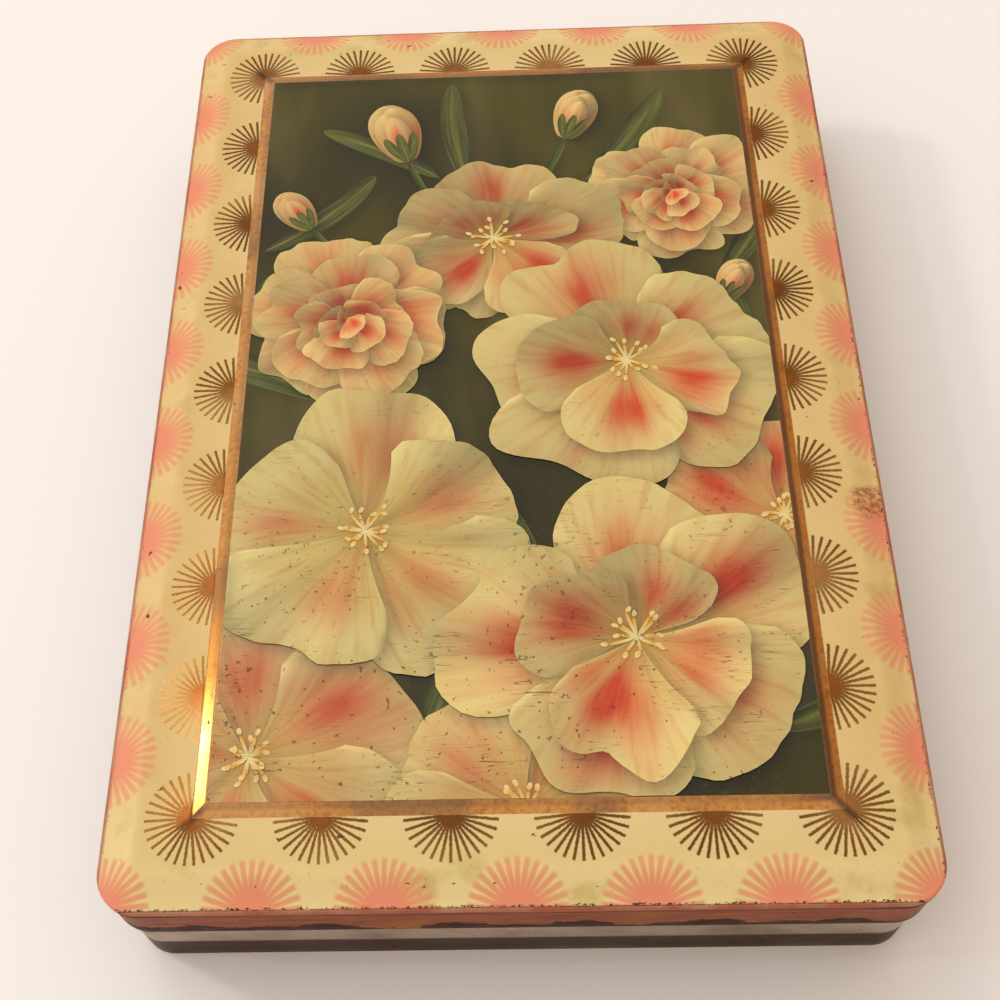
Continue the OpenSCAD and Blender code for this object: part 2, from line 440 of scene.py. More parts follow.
def crestWear(add, at):
    # Chips along the crest, most at the front and on the right, a thin worn line at the front, and specks
    crest = printSizes["crest"]
    nick = add("TexNoise", at.place, named={"Scale": 1250.0, "Detail": 4.0, "Roughness": 0.75})
    reach = add("MapRange", add("Math ABSOLUTE", add("Math SUBTRACT", at.out, crest)), 0.0, 0.7, 0.05, -0.2)
    front = add("MapRange", at.y, -112.0, -117.0, 0.0, 0.09)
    rightSide = add("MapRange", at.x, 76.0, 79.0, 0.0, 0.05)
    more = add("Math ADD", reach, add("Math MAXIMUM", front, rightSide))
    chips = add("MapRange", add("Math ADD", nick, more), 0.63, 0.67)
    speck = add("TexNoise", at.place, named={"Scale": 430.0})
    specks = add("MapRange", speck, 0.735, 0.76, 0.0, 0.9)
    fromLine = add("Math ABSOLUTE", add("Math SUBTRACT", at.out, crest + 0.25))
    line = add("Math MULTIPLY", softStep(add, fromLine, 0.08, 0.1), add("MapRange", at.y, -114.0, -116.0))
    line = add("Math MULTIPLY", line, add("MapRange", nick, 0.40, 0.47, 0.0, 0.95))
    return add("Math MAXIMUM", add("Math MAXIMUM", chips, line), specks)


def rustyRub(add, at):
    # One rubbed, rusty patch on the right-hand edge
    rub = add("VectorMath DISTANCE", add("CombineXYZ", at.x, at.y), printSizes["rubAt"]).outputs["Value"]
    rub = add("Math ADD", add("Math MULTIPLY", rub, 0.5), add("Math MULTIPLY", at.blotch, 4.0))
    return add("Math MULTIPLY", softStep(add, rub, printSizes["rubReach"], 1.5),
               add("MapRange", at.fine, 0.45, 0.6, 0.2, 0.9))


# in the gold, bright is a painted sheen and dull a painted shade, and edge also paints shade on the band's
# inner edge and mitres
inks = linearAll({
    "cream": "#e6cf95", "creamDull": "#e0c88a", "creamYellow": "#e8d397", "olive": "#c3ab66",
    "amber": "#d0a05c", "dirt": "#8a6a3c", "sunCore": "#e88f72", "sunRay": "#e39e72", "bead": "#b98468",
    "beadDeep": "#a8624a", "band": "#cc862c", "bandGrime": "#9c621a", "ray": "#844e22", "rayTip": "#7a541c",
    "bright": "#c8965a", "dull": "#54331c", "edge": "#4a2b1a", "rust": "#94602f", "tarnish": "#48301f"})


def borderMaterial():
    # Lithographed tinplate: enamel inks and gold lacquer printed on tin and varnished, which gives a
    # smooth, glossy, slightly mottled face
    material, add = newMaterial("lithographedTinBorder")
    at = lidPlaces(add)
    fan, fanRadius, fanOff = goldFans(add, at)
    sun, sunRadius = edgeSuns(add, at)
    sunTone = layered(add, inks["sunCore"], (add("MapRange", sunRadius, 3.6, 7.5), inks["sunRay"]))
    sunInk = add("Math MULTIPLY", sun, add("MapRange", sunRadius, 5.0, 9.5, 0.96, 0.9))
    # salmon ink past the crest
    bead = add("MapRange", at.out, printSizes["crest"], printSizes["crest"] + 0.35)
    beadTone = layered(add, inks["bead"], (add("MapRange", at.blotch, 0.4, 0.6), inks["beadDeep"]))
    gold = add("Math MAXIMUM", fan, at.band)
    worn = crestWear(add, at)
    colour = layered(add, creamGround(add, at), (sunInk, sunTone), (bead, beadTone),
                     (gold, goldLacquer(add, at, fanRadius, fanOff)), (rustyRub(add, at), inks["rust"]),
                     (worn, inks["tarnish"]))
    metal = add("Math MULTIPLY", gold, add("Math SUBTRACT", 1.0, worn))
    rough = add("Mix", gold, 0.36, add("MapRange", at.fine, 0.3, 0.7, 0.1, 0.2))
    rough = add("Math ADD", rough, add("Math MULTIPLY", worn, 0.3))
    height = add("Math MULTIPLY", at.blotch, 0.5)
    height = add("Math SUBTRACT", height, add("Math MULTIPLY", worn, 0.3))
    return surface(material, add, colour, rough, (height, 0.25, 0.0001), {
        "Metallic": metal, "Specular IOR Level": 0.12, "Coat Weight": at.band, "Coat Roughness": 0.06})


tinTones = linearAll({"bright": "#c0b8ad", "dull": "#afa598"})


def bareTinMaterial():
    # Bright tinplate as rolled: grey, softly reflecting, with faint rolling lines and dull clouds
    material, add = newMaterial("bareTinplate")
    place = add("TexCoord").outputs["Object"]
    cloud = add("TexNoise", place, named={"Scale": 60.0, "Detail": 4.0, "Roughness": 0.6})
    rolled = add("VectorMath MULTIPLY", place, (60.0, 1800.0, 1800.0))
    grain = add("TexNoise", rolled, named={"Scale": 1.0})
    colour = layered(add, tinTones["bright"], (add("MapRange", cloud, 0.35, 0.7), tinTones["dull"]))
    rough = add("Math ADD", add("MapRange", cloud, 0.3, 0.7, 0.3, 0.37),
                add("Math MULTIPLY", grain, 0.08))
    return surface(material, add, colour, rough, (grain, 0.08, 0.00005), {"Metallic": 1.0})


# the salmon tones are the enamel's colour in shade, a painted shade
skirtInks = linearAll({"shadedSalmon": "#854a36", "shadedSalmonPale": "#a46249", "gilt": "#9a6a30",
                       "dark": "#2c150a", "chip": "#3a281f"})


def skirtMaterial():
    # Salmon enamel over tin, painted in the darker tones it shows in shade, with dark half suns standing on
    # the hem and a ragged dark band among them
    material, add = newMaterial("enamelledSkirt")
    place, x, y, z = millimetres(add)
    u, v = add("Math ABSOLUTE", x), add("Math ABSOLUTE", y)
    onLongSide = add("Math GREATER_THAN", u, tin["width"] / 2 - 3.0)
    along = add("Mix", onLongSide, fromGap(add, u), fromMark(add, v))
    rise = add("Math SUBTRACT", z, printSizes["hemSunHeight"])
    radius = add("VectorMath LENGTH", add("CombineXYZ", rise, along)).outputs["Value"]
    streaky = add("VectorMath MULTIPLY", place, (60.0, 60.0, 900.0))
    streak = add("TexNoise", streaky, named={"Scale": 1.0, "Detail": 3.0})
    mottled = add("TexNoise", place, named={"Scale": 240.0, "Detail": 4.0, "Roughness": 0.6})
    gilt = add("TexNoise", place, named={"Scale": 70.0})
    pale, gilded = add("MapRange", streak, 0.35, 0.7), add("MapRange", gilt, 0.52, 0.68, 0.0, 0.7)
    uneven = wobble(add, mottled, 7.0)
    sun = softStep(add, add("Math ADD", radius, uneven), printSizes["hemSunRadius"], 0.6)
    ragged = add("Math ADD", wobble(add, gilt, 6.0), add("Math MULTIPLY", uneven, 0.5))
    bandTop = add("MapRange", x, -60.0, -74.0, *printSizes["hemDark"])
    low = softStep(add, add("Math ADD", z, ragged), bandTop, 0.5)
    # painted shadow in the fold under the rim, wider at the corners
    foot, top = printSizes["rimGapShadow"]
    corner = add("MapRange", add("Math ADD", u, v), 177.0, 194.0, 0.0, 1.2)
    line = add("Math SUBTRACT", add("Math ADD", z, add("Math MULTIPLY", mottled, 0.8)), corner)
    fold = add("Math MULTIPLY", softStep(add, line, top, 0.3), add("MapRange", z, foot, foot + 0.3))
    dark = add("Math MAXIMUM", add("Math MAXIMUM", sun, low), fold)
    chips = add("MapRange", add("TexNoise", place, named={"Scale": 500.0, "Detail": 3.0}), 0.70, 0.73)
    colour = layered(add, skirtInks["shadedSalmon"], (pale, skirtInks["shadedSalmonPale"]), (gilded, skirtInks["gilt"]),
                     (add("Math MULTIPLY", dark, 0.92), skirtInks["dark"]), (chips, skirtInks["chip"]))
    rough = add("MapRange", mottled, 0.3, 0.7, 0.26, 0.42)
    return surface(material, add, colour, rough, (mottled, 0.15, 0.0001), {"Specular IOR Level": 0.015})


wallInks = linearAll({"tin": "#b9a48e", "stain": "#7e6448", "brown": "#42260f", "brownDeep": "#2e180a",
                      "speck": "#4a3526"})


def wallMaterial():
    # Tinplate, bare above and lacquered gold-brown in a band along the foot
    material, add = newMaterial("lacquerBandedTinplate")
    place, *_, z = millimetres(add)
    cloud = add("TexNoise", place, named={"Scale": 45.0, "Detail": 4.0, "Roughness": 0.6})
    fine = add("TexNoise", place, named={"Scale": 700.0, "Detail": 3.0, "Roughness": 0.6})
    stain = add("MapRange", cloud, 0.44, 0.7, 0.0, 0.85)
    band = softStep(add, add("Math ADD", z, wobble(add, cloud, 1.2)), printSizes["wallBand"], 1.4)
    brown = layered(add, wallInks["brown"], (add("MapRange", fine, 0.4, 0.7), wallInks["brownDeep"]))
    specks = add("MapRange", fine, 0.68, 0.72, 0.0, 0.8)
    colour = layered(add, wallInks["tin"], (stain, wallInks["stain"]), (band, brown),
                     (specks, wallInks["speck"]))
    rough = add("MapRange", cloud, 0.3, 0.7, 0.22, 0.38)
    return surface(material, add, colour, rough, (cloud, 0.12, 0.0001), {
        "Metallic": add("Math SUBTRACT", 1.0, band), "Specular IOR Level": 0.03})


bareTin = bareTinMaterial()
enamel = skirtMaterial()
print("materials ready")


# The lid: a pressed top lapped over a folded skirt. Heights are above the floor. The slope and the bevel
# are points on a soft line: how far in, how far above the rim, border or picture, and the corner's radius
lidSizes = {"rim": 35.4, "lap": 1.8, "sideLoop": 1.2, "edgeRadius": 0.7, "border": 37.4, "panel": 38.2,
            "slope": [(1.3, 0.07, 7.2), (2.2, 0.3, 6.3), (3.2, 0.62, 5.3), (4.3, 1.02, 4.2),
                      (5.4, 1.46, None), (6.2, 1.75, None)],
            "slopeTop": [(6.8, -0.09, None), (7.3, -0.02, None), (7.9, 0.0, None)],
            "frame": (17.35, 0.45), "bevelFoot": [(17.7, 0.03, None), (18.0, 0.1, None)],
            "bevelTop": [(20.1, -0.08, None), (20.4, -0.01, None), (20.75, 0.0, None)]}


def raised(points, height):
    return [(inset, height + rise, radius) for inset, rise, radius in points]


s = lidSizes
section = [(0.0, s["rim"] - s["lap"]), (0.0, s["rim"] - s["sideLoop"])]
section = withRadius(section + arc(s["edgeRadius"], s["rim"] - s["edgeRadius"], s["edgeRadius"], 180, 90, 6),
                     tin["cornerRadius"])
section += raised(s["slope"], s["rim"]) + raised(s["slopeTop"], s["border"])
frameInset, frameRadius = s["frame"]
section += [(frameInset, s["border"], frameRadius, "fill")]
section += raised(s["bevelFoot"], s["border"]) + raised(s["bevelTop"], s["panel"])
pressedTop = sheetSweep("pressedTop", section, closed=True)
thicken(pressedTop, tin["sheet"], [borderMaterial(), bareTin, enamel], rim=0)
# the rim's side has the skirt's enamel
for face in pressedTop.data.polygons:
    if face.material_index == 0 and face.center.z < (s["rim"] - s["edgeRadius"]) * mm:
        face.material_index = 2
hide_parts("lid_top")
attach(pressedTop, "lid")

skirtSizes = {"outer": 0.35, "top": 34.65, "topTurn": (0.07, 0.12), "middle": 30.0, "hem": 21.6,
              "hemHeight": 3.0, "fold": 0.325, "seamLow": 21.5, "seamHigh": 33.7}
s = skirtSizes
section = [(s["outer"] + s["topTurn"][0], s["top"]), (s["outer"], s["top"] - s["topTurn"][1])]
section += [(s["outer"], s["middle"]), (s["outer"], s["hem"] + s["hemHeight"])]
section += arc(s["outer"] + s["fold"], s["hem"] + s["fold"], s["fold"], 180, 360, 8)
section += [(s["outer"] + 2 * s["fold"], s["hem"] + s["hemHeight"])]
lidSkirt = sheetSweep("foldedSkirt", withRadius(section, tin["cornerRadius"]))
pressSeam(lidSkirt, s["seamLow"], s["seamHigh"])
thicken(lidSkirt, tin["sheet"], [enamel, bareTin], angle=24)
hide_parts("lid_skirt")
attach(lidSkirt, "lid")
print("lid made")


# The body: a folded wall with its lock seam, and a pressed bottom
wallSizes = {"outer": 1.3, "mouth": 35.0, "hemHeight": 3.0, "fold": 0.325, "foot": 0.5, "footTop": 2.35,
             "loops": (4.0, 20.0, 31.5), "seamLow": -0.1, "seamHigh": 35.1}
s = wallSizes
section = [(s["outer"] + 2 * s["foot"], s["footTop"])]
section += arc(s["outer"] + s["foot"], s["foot"], s["foot"], 0, -180, 8)
section += [(s["outer"], height) for height in s["loops"]]
section += arc(s["outer"] + s["fold"], s["mouth"] - s["fold"], s["fold"], 180, 0, 8)
section += [(s["outer"] + 2 * s["fold"], s["mouth"] - s["hemHeight"])]
bodyWall = sheetSweep("foldedWall", withRadius(section, tin["cornerRadius"]))
pressSeam(bodyWall, s["seamLow"], s["seamHigh"])
thicken(bodyWall, tin["sheet"], [wallMaterial(), bareTin], angle=24)
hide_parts("body_wall")
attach(bodyWall, "body")

# The lock seam, a flat fold that runs up inside the back of the wall, sunk a little into its sheet
lockSizes = {"width": 6.0, "reach": 1.0, "sunk": 0.05, "low": 3.5, "high": 31.9, "rounding": 0.15}
s = lockSizes
wallFace = tin["length"] / 2 - wallSizes["outer"]
outerFace, innerFace = wallFace - tin["sheet"] + s["sunk"], wallFace - s["reach"]
clearSelection()
middle = (0, (outerFace + innerFace) / 2 * mm, (s["low"] + s["high"]) / 2 * mm)
bpy.ops.mesh.primitive_cube_add(size=mm, location=middle)
lockSeam = bpy.context.object
lockSeam.name = "lockSeam"
bpy.ops.transform.resize(value=(s["width"], outerFace - innerFace, s["high"] - s["low"]))
bpy.ops.object.transform_apply(location=True, rotation=False, scale=True)
bpy.ops.object.mode_set(mode="EDIT")
bpy.ops.mesh.select_all(action="SELECT")
bpy.ops.mesh.bevel(offset=s["rounding"] * mm, segments=2, affect="EDGES")
bpy.ops.object.mode_set(mode="OBJECT")
bpy.ops.object.shade_smooth_by_angle(angle=math.radians(30))
lockSeam.data.materials.append(bareTin)
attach(lockSeam, "body")

# The riser's points are how far past the middle of the riser, and how high
bottomSizes = {"flange": 1.65, "flangeLow": 0.35, "underside": 2.4, "edge": (0.09, 2.62), "plate": 2.7,
               "riser": 10.6, "riserReach": 1.0, "panelRadius": 5.0,
               "riserLine": [(-0.6, 2.76), (-0.3, 2.95), (0.0, 3.25), (0.3, 3.44), (0.7, 3.5)]}
s = bottomSizes
edgeIn, edgeHeight = s["edge"]
section = [(s["flange"], s["flangeLow"]), (s["flange"], s["underside"]), (s["flange"] + edgeIn, edgeHeight),
           (s["flange"] + tin["sheet"], s["plate"])]
section = withRadius(section, tin["cornerRadius"])
section += [(s["riser"] - s["riserReach"], s["plate"], s["panelRadius"], "fill")]
section += [(s["riser"] + step, height, None) for step, height in s["riserLine"]]
bodyBottom = sheetSweep("pressedBottom", section, closed=True)
thicken(bodyBottom, tin["sheet"], [bareTin])
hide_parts("body_bottom")
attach(bodyBottom, "body")
print("body made")


# A print of mixed garden blooms on dark leaves, in inks under varnish. Every petal is a thin sheet of
# ink, about a hundredth of a millimetre over the one below, shaded like a lit petal
pictureSizes = {"halfWidth": 59.5, "halfLength": 97.0, "top": 38.21, "layer": 0.012, "cell": 0.6, "seed": 41,
                "light": (-0.45, 0.5, 0.74), "shadowFrom": (-1.1, 1.3), "shadow": 0.62,
                "groundSteps": (76, 121), "groundSpan": 240}
inkTones = {"cream": "#e4d68a", "pale": "#eee8a8", "peach": "#ea9c6a", "coral": "#dc5230",
            "yellow": "#e8aa2c", "leaf": "#5f6a26", "leafDark": "#333a18", "leafPale": "#a09a48",
            "ground": "#534a10", "groundDark": "#3a350d", "groundPale": "#4b4511"}
tones = {name: np.array(linear(value)[:3]) for name, value in inkTones.items()}
chance = np.random.default_rng(pictureSizes["seed"])
sheets = []  # each printed shape: points in mm, uv, colour, kind and rise
pictureLight = np.array(pictureSizes["light"]) / np.linalg.norm(pictureSizes["light"])


def blend(first, second, amount):
    amount = np.clip(amount, 0, 1)[..., None]
    return first * (1 - amount) + second * amount


def waves(s, count, size):
    # Smooth random ripple across a petal
    total = np.zeros_like(s)
    for k in range(1, count + 1):
        total = total + chance.normal() / k ** 0.6 * np.sin(k * 2.3 * s + chance.uniform(0, 6.28))
    return size * total


def turned(points, angle, axis):
    # The points turned about an axis
    c, s = math.cos(angle), math.sin(angle)
    x, y, z = np.moveaxis(points, -1, 0)
    if axis == "x":
        return np.stack([x, c * y - s * z, s * y + c * z], -1)
    if axis == "y":
        return np.stack([c * x - s * z, y, s * x + c * z], -1)
    return np.stack([c * x - s * y, s * x + c * y, z], -1)


def tapered(length, width, steps, tip=6.0, base=0.7, curl=0.3, cup=0.3, sway=0.0):
    # A leaf, stalk or bud petal lying along +X, with its own height. t runs from base to tip, and s from
    # side to side
    t = (1 - (1 - np.linspace(0, 1, steps[0])) ** 1.5)[:, None] + np.zeros((1, steps[1]))
    s = np.linspace(-1, 1, steps[1])[None, :] + np.zeros((steps[0], 1))
    half = width * (0.06 + t ** base) * np.sqrt(np.maximum(1 - t ** tip, 0.0004))
    y = half * s + sway * length * t ** 2
    return np.stack([length * t, y, -curl * length * t ** 2.4 + cup * half * s ** 2], -1), t, s


def fanned(length, spread, steps, curl=0.1, cup=0.3, ruffle=0.05, notch=0.0, sway=0.0):
    # A broad petal that fans out from its base to a rounded, ruffled edge
    t = np.linspace(0, 1, steps[0])[:, None] + np.zeros((1, steps[1]))
    s = np.linspace(-1, 1, steps[1])[None, :] + np.zeros((steps[0], 1))
    edge = 0.6 + 0.4 * (1 - np.abs(s) ** 2.5) ** 0.55 - notch * np.exp(-((s - sway) / 0.28) ** 2)
    edge = edge + waves(s, 4, ruffle * 0.6) + waves(s * 3, 4, ruffle * 0.12)
    reach = length * t * (1 + (edge - 1) * t ** 1.4)
    turn = s * spread * (0.84 + 0.16 * np.sin(1.9 * t)) + sway * t
    x, y = reach * np.cos(turn), reach * np.sin(turn)
    z = -curl * length * t ** 2.4 + cup * y ** 2 / length + length * t ** 1.6 * waves(s, 3, ruffle * 0.55)
    return np.stack([x, y, z], -1), t, s


def lit(points):
    # How bright the sheet looks where it faces the print's own light
    along, across = np.gradient(points, axis=0), np.gradient(points, axis=1)
    normal = np.cross(along, across)
    normal /= np.linalg.norm(normal, axis=-1, keepdims=True) + 1e-9
    normal *= np.sign(normal[..., 2:3] + 1e-9)
    return np.clip(normal @ pictureLight, 0, 1)


def keep(points, place, t, s, colour, kind="petal"):
    # Prints a shape, flattened at its place, with what is left of its height as a slight rise
    rise = points[..., 2] - points[..., 2].min()
    points = points[..., :2] + np.array(place)
    sheets.append({"points": points, "uv": np.stack([s * 0.5 + 0.5 + 2 * len(sheets), t], -1),
                   "colour": colour, "kind": kind, "rise": rise / max(rise.max(), 1e-6)})


def petalColour(t, s, light, warm, deep):
    # Cream petal with a peach flush and coral streaks up its middle
    streak = 0.5 + 0.5 * np.sin(5 * s + waves(s, 5, 1.1) + 1.5 * t)
    colour = blend(tones["cream"], tones["pale"], np.exp(-((t - 0.8) / 0.25) ** 2))
    flush = warm * (0.35 + 0.65 * np.exp(-((t - 0.45) / 0.4) ** 2))
    colour = blend(colour, tones["peach"], flush * (0.6 + 0.5 * streak))
    middle = chance.uniform(-0.35, 0.35)
    patch = np.exp(-((t - chance.uniform(0.42, 0.62)) / 0.3) ** 2 - ((s - middle) / 0.6) ** 2)
    colour = blend(colour, tones["coral"], deep * patch * (0.5 + 0.8 * streak))
    colour = blend(colour, tones["yellow"], 0.55 * np.exp(-(t / 0.16) ** 2))
    rim = np.clip((np.abs(s) - 0.86) / 0.14, 0, 1) + np.clip((t - 0.94) / 0.06, 0, 1)
    colour = blend(colour, tones["pale"], 0.35 * rim)
    return colour * (0.42 + 0.61 * light)[..., None] * [1.0, 0.94, 0.78]


def stamens(place, radius, lean, leanTo, count=14):
    # Fine threads round a flower's heart, each with a yellow tip
    for k in range(count):
        angle = 2 * math.pi * k / count + chance.uniform(-0.3, 0.3)
        points, t, s = tapered(radius * chance.uniform(0.08, 0.17), 0.34, (6, 3), tip=12, base=0.1)
        points = turned(turned(turned(points, angle, "z"), lean * 0.6, "x"), leanTo, "z")
        keep(points, place, t, s, blend(tones["pale"], tones["yellow"], t))
        end = points[-1, 1, :2] + np.array(place)
        points, t, s = tapered(1.7, 0.7, (7, 7), tip=2, base=0.4)
        points = turned(points, angle + chance.uniform(-1, 1), "z")
        keep(points, end, t, s, blend(tones["yellow"], tones["pale"], 0.2 + 0.6 * t))


def bloom(place, radius, turn, lean, leanTo, rings, warm, deep, heart=True):
    # Open flower: rings of petals from outside in, leaning away from the viewer
    for count, reach, wide, opening, curl, extra in rings:
        petals = []
        for k in range(count):
            angle = turn + 2 * math.pi * (k + chance.uniform(-0.08, 0.08)) / count
            length = radius * reach * chance.uniform(0.92, 1.08)
            steps = (26, 33) if reach > 0.7 else (18, 23)
            points, t, s = fanned(length, wide * chance.uniform(0.95, 1.12), steps, curl=curl,
                                  cup=chance.uniform(0.1, 0.5), ruffle=chance.uniform(0.05, 0.085),
                                  notch=chance.choice([0.0, 0.05, 0.1]), sway=chance.uniform(-0.2, 0.2))
            points = turned(turned(points, math.radians(opening), "y"), angle - leanTo, "z")
            points = turned(turned(points, lean, "x"), leanTo, "z")
            petals.append((points, t, s))
        turn += math.pi / count
        for points, t, s in sorted(petals, key=lambda p: -p[0][..., 1].mean()):
            light = lit(points) * (0.72 + 0.28 * np.clip(t / 0.35, 0, 1))
            keep(points, place, t, s, petalColour(t, s, light, warm + extra * 0.6, deep + extra))
    if heart:
        stamens(place, radius, lean, leanTo)


def leaf(place, length, width, angle, tone=0.5, sway=0.15):
    points, t, s = tapered(length, width, (22, 9), tip=2.2, base=0.55, curl=0.1, cup=0.6, sway=sway)
    points = turned(points, angle, "z")
    light = lit(points)
    colour = blend(tones["leafDark"], tones["leaf"], tone + 0.25 * s)
    colour = blend(colour, tones["leafPale"], 0.7 * np.exp(-(s / 0.10) ** 2) * (1 - t) + 0.15 * t)
    keep(points, place, t, s, colour * (0.35 + 0.75 * light)[..., None], "leaf")


def bud(place, length, angle, warm, deep, stem=30, sway=0.2):
    # Closed flower on a stem: petals wrapped into an egg, with green sepals at its foot
    foot = np.array(place) - 0.5 * length * np.array([math.cos(angle), math.sin(angle)])
    points, t, s = tapered(stem, 0.9, (20, 5), tip=30, base=0.02, curl=0, cup=1.5, sway=sway)
    points = turned(points, angle + math.pi, "z")
    keep(points, foot, t, s, blend(tones["leafDark"], tones["leaf"], 0.5 + 0.5 * s), "leaf")
    for side, wide, reach in ((0.0, 0.36, 1.04), (0.2, 0.3, 1.0), (-0.22, 0.3, 0.97), (0.1, 0.27, 0.9),
                              (-0.07, 0.2, 0.8)):
        points, t, s = tapered(length * reach, length * wide, (24, 13), tip=3.4, base=0.42, curl=0.05,
                               cup=-0.85, sway=-side * 0.5)
        points = turned(points, angle + side, "z")
        light = lit(points) * chance.uniform(0.82, 1.0)
        keep(points, foot, t, s, petalColour(t, s, light, warm, deep))
    for side in (-0.6, 0.5, -0.05):
        leaf(foot, length * 0.5, length * 0.1, angle + side, 0.8, sway=-side * 0.3)


# Rings of petals, from outside in: how many, how long and wide, how steep they stand in degrees, how they
# curl, and how much deeper their colour is
singleRings = [(5, 1.0, 0.86, 8, 0.10, 0.0)]
wideRings = [(5, 1.0, 0.78, 4, 0.08, 0.0), (4, 0.74, 0.78, 26, 0.05, 0.15)]
doubleRings = [(6, 1.0, 0.66, 6, 0.10, -0.05), (5, 0.84, 0.7, 24, 0.12, 0.1), (5, 0.64, 0.7, 40, 0.15, 0.3),
               (4, 0.46, 0.75, 56, 0.15, 0.45), (3, 0.3, 0.8, 70, 0.1, 0.6)]
for place, length, width, angle, tone in [
        ((-58, 40), 34, 5, 0.5, 0.3), ((58, 70), 40, 6, 3.6, 0.25), ((-8, 58), 36, 5, 1.9, 0.3),
        ((-40, -4), 38, 6, 2.6, 0.5), ((50, 28), 36, 6, 0.9, 0.3), ((-14, -18), 40, 6, 3.3, 0.55),
        ((52, -34), 30, 5, -0.6, 0.45), ((-30, -72), 36, 6, 3.9, 0.5), ((-2, -30), 34, 5, -1.2, 0.5),
        ((50, -84), 30, 5, 0.3, 0.4), ((-16, 62), 34, 4, 2.5, 0.5), ((20, 60), 36, 5, 0.8, 0.45),
        ((-50, 2), 30, 5, 1.9, 0.45), ((56, 2), 26, 5, 1.8, 0.5), ((-20, -92), 30, 5, 1.2, 0.5)]:
    leaf(place, length, width, angle, tone, chance.uniform(-0.25, 0.25))
# buds and blooms from the back to the front
bud((-27, 77), 20, 1.9, 0.8, 0.75, stem=36, sway=0.25)
bud((18, 82), 17, 1.25, 0.7, 0.45, stem=34, sway=-0.2)
bud((-51, 52), 14, 2.2, 0.9, 0.95, stem=26, sway=0.1)
bud((53, 27), 13, 1.1, 0.8, 0.7, stem=26, sway=0.2)
bloom((-52, -88), 33, 0.4, 0.35, 0.3, singleRings, 0.5, 0.75)
bloom((2, -99), 28, 1.0, 0.3, 0.0, singleRings, 0.5, 0.4)
bloom((58, -36), 27, 0.2, 0.3, -0.3, singleRings, 0.75, 0.9)
bloom((41, 56), 23, 0.5, 0.35, -0.2, doubleRings, 0.75, 0.6, heart=False)
bloom((-3, 42), 31, 0.1, 0.6, 0.15, wideRings, 0.5, 0.7)
bloom((-37, 19), 26, 0.9, 0.3, 0.35, doubleRings, 0.8, 0.5, heart=False)
bloom((27, 5), 36, 0.65, 0.4, -0.2, wideRings, 0.25, 0.75)
bloom((-31, -38), 36, 0.25, 0.35, 0.2, singleRings, 0.15, 0.45)
bloom((25, -64), 38, 0.5, 0.3, 0.1, wideRings, 0.35, 0.9)

# How deep each shape lies, and the soft shadow that those above throw on it, on a grid of cells
cell, halfWidth, halfLength = (pictureSizes[k] for k in ("cell", "halfWidth", "halfLength"))
across, down = int(2 * halfWidth / cell) + 1, int(2 * halfLength / cell) + 1


def cells(points):
    i = np.rint((points[..., 0] + halfWidth) / cell).astype(int)
    j = np.rint((points[..., 1] + halfLength) / cell).astype(int)
    return i, j


def denser(points, times=4):
    # The same sheet with more points, so that it leaves no cell out
    def spread(n):
        where = np.linspace(0, n - 1, (n - 1) * times + 1)
        low = np.minimum(where.astype(int), n - 2)
        matrix = np.zeros((len(where), n))
        matrix[np.arange(len(where)), low] = 1 - (where - low)
        matrix[np.arange(len(where)), low + 1] += where - low
        return matrix
    return np.einsum("ai,bj,ijk->abk", spread(points.shape[0]), spread(points.shape[1]), points)


def softened(mask, times=3, reach=2):
    # Blurs a mask along both of its axes
    for _ in range(times):
        for axis in (0, 1):
            mask = sum(np.roll(mask, k, axis) for k in range(-reach, reach + 1)) / (2 * reach + 1)
    return mask


depth = np.zeros((across, down), int)
for sheet in sheets:
    i, j = cells(denser(sheet["points"]))
    inside = (i >= 0) & (i < across) & (j >= 0) & (j < down)
    i, j = sheet["cells"] = i[inside], j[inside]
    sheet["level"] = 1 + (depth[i, j].max() if len(i) else 0)
    depth[i, j] = sheet["level"]
# the dark ground lies under them all, a little cloudy and darker towards the front
columns, lines = pictureSizes["groundSteps"]
gx, gy = np.meshgrid(np.linspace(-halfWidth, halfWidth, columns), np.linspace(-halfLength, halfLength, lines),
                     indexing="ij")
cloud = sum(np.sin(gx * a + gy * b + c) for a, b, c in chance.uniform(-0.09, 0.09, (7, 3)) * [1, 1, 60]) / 4
paint = blend(tones["ground"], tones["groundPale"], cloud + 0.1 * (gy > 0))
paint = blend(paint, tones["groundDark"], 0.25 - cloud + np.clip(-gy / 120, 0, 1))
points = np.stack([gx, gy], -1)
ground = {"points": points, "uv": points / pictureSizes["groundSpan"], "colour": paint, "kind": "leaf",
          "rise": np.zeros((columns, lines)), "level": 0, "cells": None}
shade = np.zeros((across, down))
for sheet in [*sheets[::-1], ground]:
    i, j = cells(sheet["points"] + pictureSizes["shadowFrom"])
    i, j = np.clip(i, 0, across - 1), np.clip(j, 0, down - 1)
    sheet["colour"] = sheet["colour"] * (1 - pictureSizes["shadow"] * shade[i, j])[..., None]
    if sheet["cells"] is not None:
        mask = np.zeros((across, down))
        mask[sheet["cells"]] = 1
        shade = np.maximum(shade, softened(mask) * (0.9 if sheet["kind"] == "petal" else 0.6))


